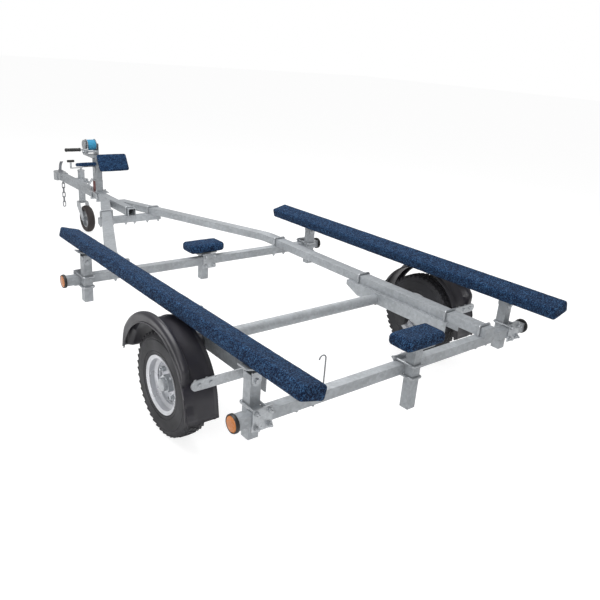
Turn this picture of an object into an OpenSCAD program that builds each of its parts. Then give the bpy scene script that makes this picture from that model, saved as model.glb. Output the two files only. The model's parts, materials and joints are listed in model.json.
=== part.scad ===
// Boat trailer with two bunks, two keel pads, a winch post and a jockey wheel.
// X runs across, Y forwards to the coupling and Z up, with the ground at Z = 0.
// Names ending in _y are distances from the axle line, forwards positive.

/* [Overall] */
// Axle line to the front of the coupling
coupling_reach = 3190; // [3120:5:3900]
// Axle line back to the rear ends of the bunks
bunk_overhang = 738; // [640:2:900]
// Length of the front and rear cross members
cross_len = 1520; // [1460:5:1840]
// Ground to the underside of the cross members
frame_z = 301; // [285:1:360]

/* [Frame sections] */
// Outside size of the square cross members and posts
box = 40; // [34:1:50]
// Wall of the square box sections
box_wall = 3; // [2:0.5:4]
// Width of each side member
side_w = 60; // [50:1:72]
// Height of each side member
side_h = 40; // [34:1:50]
// Wall of the side members
side_wall = 3; // [2:0.5:4]
// Middle of each side member from the middle of the trailer
side_x = 480; // [440:5:520]
// Bend of the side members towards the drawbar, in degrees
side_bend = 21.4; // [19:0.1:22]
// Radius of that bend along its middle line
bend_r = 220; // [120:10:400]
// Width and height of the drawbar
drawbar_w = 50; // [46:1:60]
// Wall of the drawbar
drawbar_wall = 4; // [3:0.5:5]

/* [Places along the trailer] */
// Middle of the rear cross member
rear_cross_y = -511; // [-600:1:-420]
// Middle of the front cross member
front_cross_y = 919; // [760:1:1000]
// Middle of the short nose cross member
nose_cross_y = 1870; // [1800:5:1950]
// Length of the nose cross member
nose_cross_len = 410; // [400:5:480]
// Rear ends of the side members
side_rear_y = -540; // [-640:1:-535]
// Corner where the side members turn in
side_bend_y = 1046; // [1000:1:1100]
// Front ends of the side members
side_front_y = 2140; // [2100:5:2200]
// Rear end of the drawbar
drawbar_rear_y = 1840; // [1780:5:1846]

/* [Wheels] */
// Radius of the road tyres
tyre_r = 206; // [190:1:215]
// Width of the road tyres
tyre_w = 99; // [85:1:120]
// Middle of each road tyre from the middle of the trailer
track_x = 700; // [685:1:800]
// Radius of the rim's edge
rim_r = 115; // [105:1:120]
// Width over the rim's edges
rim_w = 94; // [84:1:110]
// Radius of the stub axle
stub_r = 17; // [14:0.5:20]
// Circle of the wheel studs
stud_pcd = 115; // [100:0.5:120]

/* [Axle] */
// Diameter of the axle beam
beam_d = 50; // [40:1:60]
// Axle beam ahead of the wheel centres
beam_y = 82; // [60:1:110]
// Overall width of each axle rail
axle_rail_w = 98; // [90:1:110]
// Height of each axle rail
axle_rail_h = 57; // [50:1:70]
// Rear end of the axle rails
axle_rail_rear_y = -353; // [-420:1:-300]
// Front end of the axle rails
axle_rail_front_y = 283; // [250:1:330]
// Wall of the axle rails
axle_rail_wall = 4; // [3:0.5:6]

/* [Mudguards] */
// Radius of each mudguard's main skin
guard_r = 250; // [232:1:254]
// Radius over each mudguard's outer ridge
guard_ridge_r = 282; // [262:1:300]
// Inner edge of each mudguard from the middle of the trailer
guard_in_x = 650; // [630:1:660]
// Outer edge of each mudguard from the middle of the trailer
guard_out_x = 783; // [770:1:880]
// Wall of the mudguards
guard_wall = 3; // [2:0.5:5]
// Ground to the lower edge of each rear panel
guard_flap_z = 173; // [120:1:200]

/* [Bunks and pads] */
// Width of each bunk
bunk_w = 100; // [80:1:120]
// Thickness of each bunk
bunk_t = 53; // [40:1:60]
// Length of each bunk
bunk_len = 1893; // [1600:1:2200]
// Tilt of each bunk, outer edge up, in degrees
bunk_tilt = 14.7; // [10:0.1:18]
// Middle of each bunk from the middle of the trailer
bunk_x = 647; // [630:1:700]
// Ground to the middle of each bunk, at the axle line
bunk_z = 491; // [486:1:530]
// Fall of each bunk towards the front, in degrees
bunk_fall = 0.52; // [0:0.02:0.8]
// Middle of each bunk post from the middle of the trailer
post_x = 672; // [650:1:700]
// Ground to the feet of the bunk posts
post_foot_z = 224; // [180:1:260]
// Length across of each keel pad
pad_len = 204; // [160:1:240]
// Width of each keel pad
pad_w = 110; // [90:1:130]
// Thickness of each keel pad
pad_t = 50; // [40:1:60]
// Ground to the top of the front keel pad
front_pad_z = 411; // [400:1:450]
// Ground to the top of the rear keel pad
rear_pad_z = 477; // [440:1:520]

/* [Winch post] */
// Middle of the winch post
winch_post_y = 2379; // [2300:1:2500]
// Width of the winch post
winch_post_w = 40; // [36:1:46]
// Depth of the winch post
winch_post_d = 66; // [50:1:80]
// Ground to the top of the winch post
winch_post_z = 622; // [580:1:760]
// Winch drum ahead of the winch post's middle
drum_ahead = 108; // [90:1:130]
// Length of the winch crank's arm
crank_len = 68; // [60:1:90]
// Outer end of the crank's grip from the middle of the trailer
crank_out_x = 210; // [190:1:240]
// Length of the crank's grip
crank_grip_len = 103; // [90:1:120]
// Radius of the strap wound on the drum
strap_r = 36; // [28:1:42]
// Width of the strap
strap_w = 56; // [40:1:60]
// Length of the upright bow pad
snub_len = 205; // [160:1:240]
// Width of the upright bow pad
snub_w = 118; // [90:1:130]
// Thickness of the upright bow pad
snub_t = 30; // [22:1:36]
// Length of the flat bow pad
flat_pad_len = 115; // [90:1:160]
// Depth of the flat bow pad
flat_pad_depth = 100; // [80:1:130]
// Thickness of the flat bow pad
flat_pad_t = 26; // [20:1:32]

/* [Jockey wheel] */
// Middle of the jockey tube from the middle of the trailer
jockey_x = 62; // [58:1:75]
// Jockey tube ahead of the axle
jockey_y = 2850; // [2750:5:2860]
// Radius of the jockey tube
jockey_tube_r = 24; // [22:0.5:26]
// Radius of the jockey tyre
jockey_r = 100; // [80:1:110]
// Width of the jockey tyre
jockey_w = 50; // [40:1:54]
// Trail of the jockey wheel behind its tube
jockey_trail = 85; // [60:1:90]

/* [Fixings] */
// Diameter of the U-bolts
bolt_d = 10; // [8:1:12]
// Running clearance of a shaft in its bore, on the radius
run_gap = 0.05; // [0.02:0.01:0.1]
// Gap left beside a piece that is clamped or hung
seat_gap = 0.3; // [0.2:0.05:0.5]

/* [Hidden] */
$fn = 48;

// Heights that follow from the frame
axle_y = (bunk_overhang - coupling_reach) / 2;
deck_z = frame_z + box;
side_top_z = deck_z + side_h;
drawbar_top_z = deck_z + drawbar_w;
bolt_r = bolt_d / 2;
nut_r = bolt_d * 0.92;
nut_h = bolt_d * 0.8;
tail = 18;

// Side member geometry, on its middle line
bend_tangent = bend_r * tan(side_bend / 2);
bend_start_y = side_bend_y - bend_tangent;
function side_mid_x(y) = side_x - (y - side_bend_y) * tan(side_bend);

// Posts stand against the cross members: in front of the rear one and behind the front one
rear_post_y = rear_cross_y + box;
front_post_y = front_cross_y - box;
rear_keel_y = rear_cross_y - box;
front_keel_y = front_cross_y + box;
function bunk_mid_z(y) = bunk_z - y * tan(bunk_fall);
function bunk_under_z(y, x) =
    bunk_mid_z(y) - bunk_t / 2 / cos(bunk_tilt) + (x - bunk_x) * tan(bunk_tilt);

// Wheels, hubs and stub axles
rim_seat_r = rim_r - 13;
disc_x = track_x + 4;
disc_t = 5;
hub_in_x = track_x - 62;
hub_out_x = track_x + 38;
hub_r = 34;
arm_in_x = side_x + axle_rail_w / 2 + 16;
arm_t = 22;
beam_z = deck_z - 36;
arm_run = sqrt(pow(beam_y, 2) + pow(beam_z - tyre_r, 2));
arm_angle = atan2(beam_z - tyre_r, beam_y);

// Jockey leg
jockey_wheel_y = jockey_y - jockey_trail;
fork_crown_z = 2 * jockey_r + 8;
fork_crown_t = 8;
jockey_top_z = drawbar_top_z + 54;
swivel_r = 10;
jockey_axle_r = 6;
fork_gap = jockey_w + 10;

// Winch
drum_y = winch_post_y + drum_ahead;
drum_z = winch_post_z + 70;

// ---------- building blocks ----------

// Moves distances from the axle line into the part's own frame
module place() translate([0, axle_y, 0]) children();

// Turns a piece of the right-hand side to the left-hand side
module on_side(side) {
    if (side == "left") mirror([1, 0, 0]) children();
    else children();
}

// Box section standing up from z = 0, size a along x and b along y
module box_tube(len, a, b, wall) {
    linear_extrude(len) difference() {
        square([a, b], center = true);
        square([a - 2 * wall, b - 2 * wall], center = true);
    }
}

// Bar with its middle at [0, 0] and its foot at z = 0
module bar(a, b, h) translate([-a / 2, -b / 2, 0]) cube([a, b, h]);

// Cylinder along x from x0 to x1
module rod_x(r, x0, x1) translate([x0, 0, 0]) rotate([0, 90, 0]) cylinder(r = r, h = x1 - x0);

// Cylinder along y from y0 to y1
module rod_y(r, y0, y1) translate([0, y0, 0]) rotate([-90, 0, 0]) cylinder(r = r, h = y1 - y0);

// Nut on a leg that runs down -z, with its seat at z = 0
module nut() translate([0, 0, -nut_h]) cylinder(r = nut_r, h = nut_h, $fn = 6);

// Square U-bolt over a section `span` wide: underside of the bow at z = 0, nuts at z = -grip
module u_bolt(span, grip) {
    leg_x = span / 2 + seat_gap + bolt_r;
    bow_w = bolt_d + 0.8;
    translate([0, 0, seat_gap]) bar(2 * leg_x + bow_w, bow_w, bolt_d);
    for (s = [-1, 1]) translate([s * leg_x, 0, 0]) {
        translate([0, 0, -grip - tail]) cylinder(r = bolt_r, h = grip + tail + 1);
        translate([0, 0, -grip]) nut();
    }
}

// Legs of that U-bolt, wide enough to pass, as a cut through what it clamps
module u_bolt_holes(span, depth) {
    for (s = [-1, 1]) translate([s * (span / 2 + seat_gap + bolt_r), 0, -depth])
        cylinder(r = bolt_r + seat_gap, h = depth + 1);
}

// ---------- frame ----------

module drawbar() color("lightgray") place()
    translate([0, drawbar_rear_y, deck_z + drawbar_w / 2]) rotate([-90, 0, 0])
        box_tube(coupling_reach - 90 - drawbar_rear_y, drawbar_w, drawbar_w, drawbar_wall);

// Straight rear run, bend and angled front run, trimmed against the drawbar
module side_member(side) color("lightgray") on_side(side) place() translate([0, 0, deck_z]) {
    front_run = (side_front_y - side_bend_y) / cos(side_bend) + side_w;
    difference() {
        translate([0, 0, side_h / 2]) union() {
            translate([side_x, side_rear_y, 0]) rotate([-90, 0, 0])
                box_tube(bend_start_y - side_rear_y, side_w, side_h, side_wall);
            translate([side_x - bend_r, bend_start_y, 0]) {
                rotate_extrude(angle = side_bend, $fn = 96) translate([bend_r, 0]) difference() {
                    square([side_w, side_h], center = true);
                    square([side_w - 2 * side_wall, side_h - 2 * side_wall], center = true);
                }
                rotate([0, 0, side_bend]) translate([bend_r, 0, 0]) rotate([-90, 0, 0])
                    box_tube(front_run, side_w, side_h, side_wall);
            }
        }
        translate([-side_w, side_front_y, -1]) cube([6 * side_w, 4 * side_w, side_h + 2]);
        translate([drawbar_w / 2 - 4 * side_w, side_bend_y, -1])
            cube([4 * side_w, side_front_y, side_h + 2]);
    }
    // Closed rear end
    translate([side_x, side_rear_y, side_h / 2]) rotate([-90, 0, 0])
        translate([0, 0, -side_wall]) bar(side_w, side_h, side_wall);
}

// Square cross member with closed ends; holes is a list of [x, span] pairs for its U-bolts
module cross_member(y, len, holes) color("lightgray") place() difference() {
    translate([0, y, frame_z + box / 2]) union() {
        translate([-len / 2, 0, 0]) rotate([0, 90, 0]) box_tube(len, box, box, box_wall);
        for (s = [-1, 1]) translate([s * (len / 2 - box_wall / 2), 0, 0])
            cube([box_wall, box, box], center = true);
    }
    for (h = holes) translate([h[0], y, deck_z]) u_bolt_holes(h[1], box + 1);
}

nose_side_x = side_mid_x(nose_cross_y);
nose_side_span = side_w / cos(side_bend) + 2;
side_holes = [[-side_x, side_w], [side_x, side_w]];
nose_holes = [[-nose_side_x, nose_side_span], [0, drawbar_w], [nose_side_x, nose_side_span]];

module rear_cross_member() cross_member(rear_cross_y, cross_len, side_holes);
module front_cross_member() cross_member(front_cross_y, cross_len, side_holes);
module nose_cross_member() cross_member(nose_cross_y, nose_cross_len, nose_holes);

module frame_u_bolts(y) color("silver") place()
    for (h = side_holes) translate([h[0], y, side_top_z]) u_bolt(h[1], side_h + box);

module nose_u_bolts() color("silver") place() {
    for (s = [-1, 1]) translate([s * nose_side_x, nose_cross_y, side_top_z])
        u_bolt(nose_side_span, side_h + box);
    translate([0, nose_cross_y, drawbar_top_z]) u_bolt(drawbar_w, drawbar_w + box);
}

// ---------- axle ----------

module axle_beam() color("silver") place() translate([0, beam_y, beam_z]) difference() {
    inner = side_x - axle_rail_w / 2;
    rod_x(beam_d / 2, -inner, inner);
    rod_x(beam_d / 2 - 4, -inner - 1, inner + 1);
}

axle_bolt_y = [-330, 216];

// Upside-down channel under the side member, with a row of slots in its inner edge
module axle_rail(side) color("lightgray") on_side(side) place() {
    slot_pitch = 22;
    strip = (axle_rail_w - side_w) / 2;
    nose_rise = 34;
    nose_run = 83;
    in_x = side_x - axle_rail_w / 2;
    difference() {
        translate([in_x, 0, 0]) rotate([90, 0, 90]) linear_extrude(axle_rail_w) polygon([
            [axle_rail_rear_y, deck_z - axle_rail_h], [axle_rail_rear_y, deck_z],
            [axle_rail_front_y, deck_z], [axle_rail_front_y, deck_z - axle_rail_h + nose_rise],
            [axle_rail_front_y - nose_run, deck_z - axle_rail_h]
        ]);
        translate([in_x + axle_rail_wall, axle_rail_rear_y - 1, deck_z - 2 * axle_rail_h])
            cube([axle_rail_w - 2 * axle_rail_wall, axle_rail_front_y - axle_rail_rear_y + 2,
                2 * axle_rail_h - axle_rail_wall]);
        for (y = axle_bolt_y) translate([side_x, y, deck_z])
            u_bolt_holes(side_w, axle_rail_wall + 1);
        for (y = [axle_rail_rear_y + 60 : slot_pitch : axle_rail_front_y - 100])
            translate([in_x + strip * 0.6, y, deck_z]) cube([6, 12, 3 * axle_rail_wall], center = true);
        translate([0, beam_y, beam_z]) rod_x(29 + seat_gap, side_x, side_x + axle_rail_w);
    }
}

module axle_rail_u_bolts() color("silver") place()
    for (s = [-1, 1], y = axle_bolt_y) translate([s * side_x, y, side_top_z])
        u_bolt(side_w, side_h + axle_rail_wall);

// Rubber suspension unit, trailing arm and stub axle
module suspension_arm(side) color("dimgray") on_side(side) place() {
    translate([0, beam_y, beam_z]) {
        rod_x(29, side_x - axle_rail_w / 2 + axle_rail_wall, arm_in_x);
        rod_x(36, arm_in_x - 1, arm_in_x + arm_t);
    }
    translate([0, beam_y, beam_z]) rotate([arm_angle, 0, 0])
        translate([arm_in_x, -arm_run, -24]) cube([arm_t, arm_run, 48]);
    translate([0, 0, tyre_r]) {
        rod_x(30, arm_in_x, arm_in_x + arm_t + 4);
        rod_x(stub_r, arm_in_x + arm_t, hub_out_x - 6);
    }
}

// Hub with its flange, studs and nuts, closed by the grease cap
module wheel_hub(side) color("silver") on_side(side) place() translate([0, 0, tyre_r]) {
    difference() {
        union() {
            rod_x(hub_r, hub_in_x, hub_out_x - 8);
            rod_x(72, disc_x - disc_t / 2 - 12, disc_x - disc_t / 2);
            rod_x(24, hub_out_x - 9, hub_out_x + 6);
            for (i = [0 : 3]) rotate([45 + 90 * i, 0, 0]) translate([0, stud_pcd / 2, 0]) {
                rod_x(6, disc_x - disc_t, disc_x + 24);
                translate([disc_x + disc_t / 2, 0, 0]) rotate([0, 90, 0])
                    cylinder(r = 11, h = 14, $fn = 6);
            }
        }
        rod_x(stub_r + run_gap, hub_in_x - 1, hub_out_x - 4);
    }
}

// Pressed disc and rolled rim, as [radius, place across] outlines about the wheel's axis
module wheel_rim(side) color("gainsboro") on_side(side) place()
    translate([0, 0, tyre_r]) rotate([0, 90, 0]) difference() {
        edge = rim_w / 2;
        union() {
            translate([0, 0, track_x]) rotate_extrude($fn = 96) polygon([
                [rim_r, -edge], [rim_r, -edge + 4], [rim_seat_r, -edge + 8],
                [rim_seat_r, -16], [rim_seat_r - 14, -8], [rim_seat_r - 14, 12],
                [rim_seat_r, 20], [rim_seat_r, edge - 8], [rim_r, edge - 4], [rim_r, edge],
                [rim_seat_r - 2, edge - 5], [rim_seat_r - 4, 21], [rim_seat_r - 18, 15],
                [rim_seat_r - 18, -10], [rim_seat_r - 4, -18], [rim_seat_r - 4, -edge + 6]
            ]);
            translate([0, 0, disc_x - disc_t / 2]) cylinder(r = rim_seat_r - 16, h = disc_t);
        }
        translate([0, 0, disc_x - 20]) cylinder(r = hub_r + seat_gap, h = 40);
        for (i = [0 : 3]) rotate([0, 0, 45 + 90 * i]) translate([stud_pcd / 2, 0, disc_x - 20])
            cylinder(r = 6 + seat_gap, h = 40);
        for (i = [0 : 3]) rotate([0, 0, 90 * i]) translate([72, 0, disc_x - 20]) {
            for (s = [-1, 1]) translate([0, s * 13, 0]) cylinder(r = 7, h = 40);
            translate([-7, -13, 0]) cube([14, 26, 40]);
        }
    }

// Hollow tyre on the rim's seats
module tyre(side) color("black") on_side(side) place()
    translate([track_x, 0, tyre_r]) rotate([0, 90, 0]) rotate_extrude($fn = 96) {
        half = tyre_w / 2;
        bead = rim_w / 2 - 8.4;
        lip_side = rim_w / 2 - 4.4;
        polygon([
            [rim_seat_r + seat_gap, -bead], [rim_r + 1, -lip_side], [rim_r + 3, -half + 3],
            [(tyre_r + rim_seat_r) / 2 + 6, -half], [tyre_r - 24, -half + 3],
            [tyre_r - 9, -half + 9], [tyre_r - 2, -half + 20], [tyre_r, 0],
            [tyre_r - 2, half - 20], [tyre_r - 9, half - 9],
            [tyre_r - 24, half - 3], [(tyre_r + rim_seat_r) / 2 + 6, half],
            [rim_r + 3, half - 3], [rim_r + 1, lip_side], [rim_seat_r + seat_gap, bead],
            [rim_seat_r + seat_gap, bead - 12], [rim_seat_r + 20, half - 14],
            [tyre_r - 26, half - 14], [tyre_r - 16, half - 26],
            [tyre_r - 16, -half + 26], [tyre_r - 26, -half + 14],
            [rim_seat_r + 20, -half + 14], [rim_seat_r + seat_gap, -bead + 12]
        ]);
    }

// ---------- mudguards ----------

// Angles up from the front, about the wheel's middle
guard_front_angle = 15;
guard_rear_angle = 152;
guard_skin_angle = 172;
guard_ridge_w = 26;
guard_lip_r = guard_r - 8;
guard_flap_out = 11;
stay_t = 6;
stay_h = 38;
rear_stay_z = deck_z - 19;
front_stay_z = deck_z - 54;
spacer_r = 8;
// Step by which each length of the mudguard's skin nests into the one above
guard_nest = 0.3;

// Arched skin with an outer ridge and lip, running on as a plain skin and a flat rear panel
module mudguard(side) color("#1c1a20") on_side(side) place() {
    guard_w = guard_out_x - guard_in_x;
    skin_out_r = guard_r - guard_nest;
    skin_in_r = guard_r - guard_wall + guard_nest;
    translate([0, 0, tyre_r]) rotate([90, 0, 90]) {
        rotate([0, 0, guard_front_angle]) guard_arch();
        rotate([0, 0, guard_rear_angle - 1])
            rotate_extrude(angle = guard_skin_angle - guard_rear_angle + 1, $fn = 96)
                translate([skin_in_r, guard_in_x + guard_nest])
                    square([skin_out_r - skin_in_r, guard_w - 2 * guard_nest]);
    }
    foot_y = -guard_r - guard_flap_out;
    tilt = 180.5 - guard_skin_angle;
    top_out_r = skin_out_r - guard_nest;
    top_in_r = skin_in_r + guard_nest;
    translate([guard_in_x + 2 * guard_nest, 0, 0]) rotate([90, 0, 90])
        linear_extrude(guard_w - 4 * guard_nest) polygon([
            [-top_out_r * cos(tilt), tyre_r + top_out_r * sin(tilt)], [foot_y, guard_flap_z],
            [foot_y + guard_wall, guard_flap_z],
            [-top_in_r * cos(tilt), tyre_r + top_in_r * sin(tilt)]
        ]);
}

module guard_arch() {
    lip_r = guard_lip_r;
    rotate_extrude(angle = guard_rear_angle - guard_front_angle, $fn = 96) polygon([
        [guard_r, guard_in_x], [guard_r, guard_out_x - guard_ridge_w - 10],
        [guard_ridge_r, guard_out_x - guard_ridge_w], [guard_ridge_r, guard_out_x - 8],
        [guard_ridge_r - 8, guard_out_x], [lip_r, guard_out_x], [lip_r, guard_out_x - guard_wall],
        [guard_ridge_r - 9, guard_out_x - guard_wall],
        [guard_ridge_r - guard_wall, guard_out_x - 9],
        [guard_ridge_r - guard_wall, guard_out_x - guard_ridge_w + 1],
        [guard_r - guard_wall, guard_out_x - guard_ridge_w - 9], [guard_r - guard_wall, guard_in_x]
    ]);
}

// Flat bar across the mudguard's end, turned along the axle rail, with spacers to the skin
module mudguard_stays(side) color("silver") on_side(side) place() {
    rail_x = side_x + axle_rail_w / 2;
    // columns: low face along y, middle height, direction of the tab, distance in from the guard's edge
    for (row = [[-guard_r - stay_t, rear_stay_z, 1, 39], [guard_r, front_stay_z, -1, 57]]) {
        end_x = guard_out_x - row[3];
        translate([rail_x, row[0], row[1] - stay_h / 2]) cube([end_x - rail_x, stay_t, stay_h]);
        translate([end_x, row[0] + stay_t, row[1]]) rotate([90, 0, 0])
            cylinder(r = stay_h / 2, h = stay_t);
        translate([rail_x, row[2] > 0 ? row[0] : row[0] + stay_t - 60, row[1] - stay_h / 2])
            cube([stay_t, 60, stay_h]);
        seat_y = sqrt(pow(guard_r, 2) - pow(row[1] - spacer_r - tyre_r, 2)) + seat_gap;
        for (dx = [-12, -57]) translate([end_x + dx, 0, row[1]]) {
            translate([0, row[2] > 0 ? row[0] : row[0] + stay_t, 0]) rotate([90 * row[2], 0, 0])
                cylinder(r = 8, h = 5, $fn = 6);
            if (row[2] > 0) rod_y(spacer_r, -guard_r - 1, -seat_y);
            else rod_y(spacer_r, seat_y, guard_r + 1);
        }
    }
}

// ---------- bunks, posts and pads ----------

// Moves to a bunk's middle line, with z square to its top
module bunk_frame(y) translate([bunk_x, y, bunk_mid_z(y)]) rotate([-bunk_fall, 0, 0])
    rotate([0, -bunk_tilt, 0]) children();

module bunk(side) color("midnightblue") on_side(side) place() bunk_frame(-bunk_overhang) {
    round_r = 9;
    rotate([-90, 0, 0]) linear_extrude(bunk_len) union() {
        square([bunk_w - 2 * round_r, bunk_t], center = true);
        square([bunk_w, bunk_t - 2 * round_r], center = true);
        for (sx = [-1, 1], sy = [-1, 1])
            translate([sx * (bunk_w / 2 - round_r), sy * (bunk_t / 2 - round_r)]) circle(r = round_r);
    }
}

bracket_t = 5;
bracket_drop = 46;
// Top of a bunk post, below the low side of its tilted bracket
function post_top_z(y) = bunk_under_z(y, post_x - box / 2) - bracket_t - 8;

module bunk_posts(side) color("lightgray") on_side(side) place()
    for (y = [rear_post_y, front_post_y]) translate([post_x, y, post_foot_z])
        box_tube(post_top_z(y) - post_foot_z, box, box, box_wall);

// Tilting seat under the bunk, with an ear on each side of the post and a through bolt
module bunk_brackets(side) color("silver") on_side(side) place()
    for (y = [rear_post_y, front_post_y]) {
        top = post_top_z(y);
        along = (post_x - bunk_x) / cos(bunk_tilt);
        bunk_frame(y) translate([along, 0, -bunk_t / 2 - bracket_t - run_gap])
            bar(72, box + 2 * bracket_t, bracket_t);
        for (s = [-1, 1]) translate([post_x, y + s * (box + bracket_t) / 2, 0]) {
            translate([0, 0, top - 22]) rotate([90, 0, 0])
                cylinder(r = 18, h = bracket_t, center = true);
            translate([0, 0, top - 22]) bar(36, bracket_t, 22 + 8);
        }
        translate([post_x, y, top - 22]) for (s = [-1, 1]) scale([1, s, 1])
            translate([0, box / 2 + bracket_t - 0.5, 0]) rotate([-90, 0, 0])
                cylinder(r = 9, h = 7, $fn = 6);
    }

module keel_posts() color("lightgray") place() {
    // columns: place along the trailer, foot, top
    for (row = [[rear_keel_y, frame_z - 136, rear_pad_z - pad_t - 6],
                [front_keel_y, frame_z - 96, front_pad_z - pad_t - 6]])
        translate([0, row[0], 0]) {
            translate([0, 0, row[1]]) box_tube(row[2] - row[1], box, box, box_wall);
            translate([0, 0, row[2]]) bar(120, 80, 6);
        }
}

// Rounded pad whose top is at z = 0
module keel_pad() {
    round_r = 12;
    translate([0, 0, -pad_t]) linear_extrude(pad_t) union() {
        square([pad_len - 2 * round_r, pad_w], center = true);
        square([pad_len, pad_w - 2 * round_r], center = true);
        for (sx = [-1, 1], sy = [-1, 1])
            translate([sx * (pad_len / 2 - round_r), sy * (pad_w / 2 - round_r)]) circle(r = round_r);
    }
}

module front_keel_pad() color("midnightblue") place()
    translate([0, front_keel_y, front_pad_z]) keel_pad();
module rear_keel_pad() color("midnightblue") place()
    translate([0, rear_keel_y, rear_pad_z]) keel_pad();

// Plate and two U-bolts that clamp a post to a cross member; the post stands at +y of the member
module post_clamp() {
    plate_t = 6;
    plate_w = box + 2 * bolt_d + 16;
    translate([-plate_w / 2, -box / 2 - plate_t, -box]) cube([plate_w, plate_t, 2 * box]);
    for (z = [-1, 1]) translate([0, 1.5 * box, z * (box / 2 + bolt_r + seat_gap)])
        rotate([90, 0, 0]) clamp_bolt(2 * box + plate_t);
}

// U-bolt lying along y: bow at z = 0 and nuts outside the plate at z = reach
module clamp_bolt(reach) mirror([0, 0, 1]) u_bolt(box, reach);

module rear_post_clamps() color("silver") place() translate([0, rear_cross_y, frame_z + box / 2]) {
    for (s = [-1, 1]) translate([s * post_x, 0, 0]) post_clamp();
    rotate([0, 0, 180]) post_clamp();
}

module front_post_clamps() color("silver") place() translate([0, front_cross_y, frame_z + box / 2]) {
    for (s = [-1, 1]) translate([s * post_x, 0, 0]) rotate([0, 0, 180]) post_clamp();
    post_clamp();
}

// ---------- winch post ----------

module winch_post() color("lightgray") place()
    translate([0, winch_post_y, drawbar_top_z + 6]) {
        box_tube(winch_post_z - drawbar_top_z - 6, winch_post_w, winch_post_d, 3);
        translate([0, 0, winch_post_z - drawbar_top_z - 6 - 3]) bar(winch_post_w, winch_post_d, 3);
    }

winch_bolt_off = winch_post_d / 2 + 17;

// Foot plate, keeper plate under the drawbar, cheeks and U-bolts
module winch_post_clamp() color("silver") place() translate([0, winch_post_y, 0]) {
    plate_len = 2 * winch_bolt_off + 40;
    difference() {
        translate([0, 0, drawbar_top_z]) bar(drawbar_w + 46, plate_len, 6);
        for (s = [-1, 1]) translate([0, s * winch_bolt_off, drawbar_top_z + 7])
            u_bolt_holes(drawbar_w, 12);
    }
    for (s = [-1, 1]) translate([s * (winch_post_w / 2 + 2.5), 0, drawbar_top_z + 5])
        bar(5, winch_post_d - 14, 76);
    for (s = [-1, 1]) translate([0, s * winch_bolt_off, deck_z]) rotate([180, 0, 0])
        u_bolt(drawbar_w, drawbar_w + 6);
}

// Folded winch frame: base plate on the post, two cheeks and a tie rod
module winch_frame() color("silver") place() translate([0, drum_y, 0]) {
    cheek_x = strap_w / 2 + 8;
    base_rear = -drum_ahead - winch_post_d / 2 + 12;
    translate([0, 0, winch_post_z]) {
        translate([-cheek_x - 3, base_rear, 0]) cube([2 * cheek_x + 6, 40 - base_rear, 4]);
        for (s = [-1, 1]) translate([s * (cheek_x + 1.5), 0, 0]) difference() {
            translate([0, -48, 0]) translate([-1.5, 0, 0]) cube([3, 88, drum_z - winch_post_z + 14]);
            translate([0, 0, drum_z - winch_post_z]) rod_x(8 + run_gap, -3, 3);
            translate([0, -34, 30]) rod_x(6 + run_gap, -3, 3);
        }
    }
}

module winch_drum() color("gainsboro") place() translate([0, drum_y, drum_z]) {
    cheek_x = strap_w / 2 + 8;
    rod_x(8, -cheek_x - 14, cheek_x + 8);
    for (s = [-1, 1]) translate([s * (strap_w / 2 + 2.5), 0, 0]) rod_x(strap_r + 4, -1.5, 1.5);
    // Large gear outside the left cheek
    translate([-cheek_x - 9, 0, 0]) rod_x(strap_r - 2, -3, 3);
}

module winch_strap() color("deepskyblue") place() translate([0, drum_y, drum_z]) difference() {
    rod_x(strap_r, -strap_w / 2, strap_w / 2);
    rod_x(8 + seat_gap, -strap_w, strap_w);
}

// Crank shaft with its pinion, arm and lateral grip
module winch_crank() color("#202020") place()
    translate([0, drum_y - 34, winch_post_z + 30]) {
        cheek_x = strap_w / 2 + 8;
        rod_x(6, -cheek_x - 26, cheek_x + 6);
        rotate([-22, 0, 0]) {
            translate([-cheek_x - 24.5, -crank_len - 8, -8]) cube([5, crank_len + 16, 16]);
            translate([0, -crank_len, 0]) {
                rod_x(5, -crank_out_x, -cheek_x - 20);
                rod_x(11, -crank_out_x, -crank_out_x + crank_grip_len);
            }
        }
    }

// Bow pads on the post: the right one upright behind it, the left one tipped flat beside it
snub_z = 598;
snub_y = winch_post_y - winch_post_d / 2 - 54;
snub_x = snub_len / 2 - 30;
snub_tilt = 31;
flat_pad_z = 580;
flat_pad_fall = 10.7;

module snub_right_frame() translate([snub_x, snub_y, snub_z]) rotate([-snub_tilt, 0, 0])
    translate([0, -8, 0]) children();

module snub_left_frame() translate([-winch_post_w / 2 - seat_gap - flat_pad_len / 2, winch_post_y, flat_pad_z])
    rotate([-flat_pad_fall, 0, 0]) children();

module snub_bracket() color("silver") place() {
    arm_h = 16;
    arm_y = winch_post_y - winch_post_d / 2;
    snub_right_frame() translate([-85, snub_t / 2 + seat_gap, -20]) cube([170, 6, 40]);
    translate([-12, snub_y + 9, snub_z - arm_h]) cube([24, arm_y - snub_y - 9, arm_h]);
    snub_left_frame() translate([flat_pad_len / 2 + seat_gap - 80, -20, -flat_pad_t / 2 - seat_gap - 5])
        cube([80, 40, 5]);
    translate([-winch_post_w / 2 - 5, winch_post_y - 20, flat_pad_z - 62]) cube([5, 40, 42]);
}

module snub_pad_right() color("midnightblue") place() snub_right_frame()
    cube([snub_len, snub_t, snub_w], center = true);

module snub_pad_left() color("midnightblue") place() snub_left_frame()
    cube([flat_pad_len, flat_pad_depth, flat_pad_t], center = true);

// ---------- jockey wheel ----------

clamp_h = 46;
clamp_r = jockey_tube_r + 8;

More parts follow.
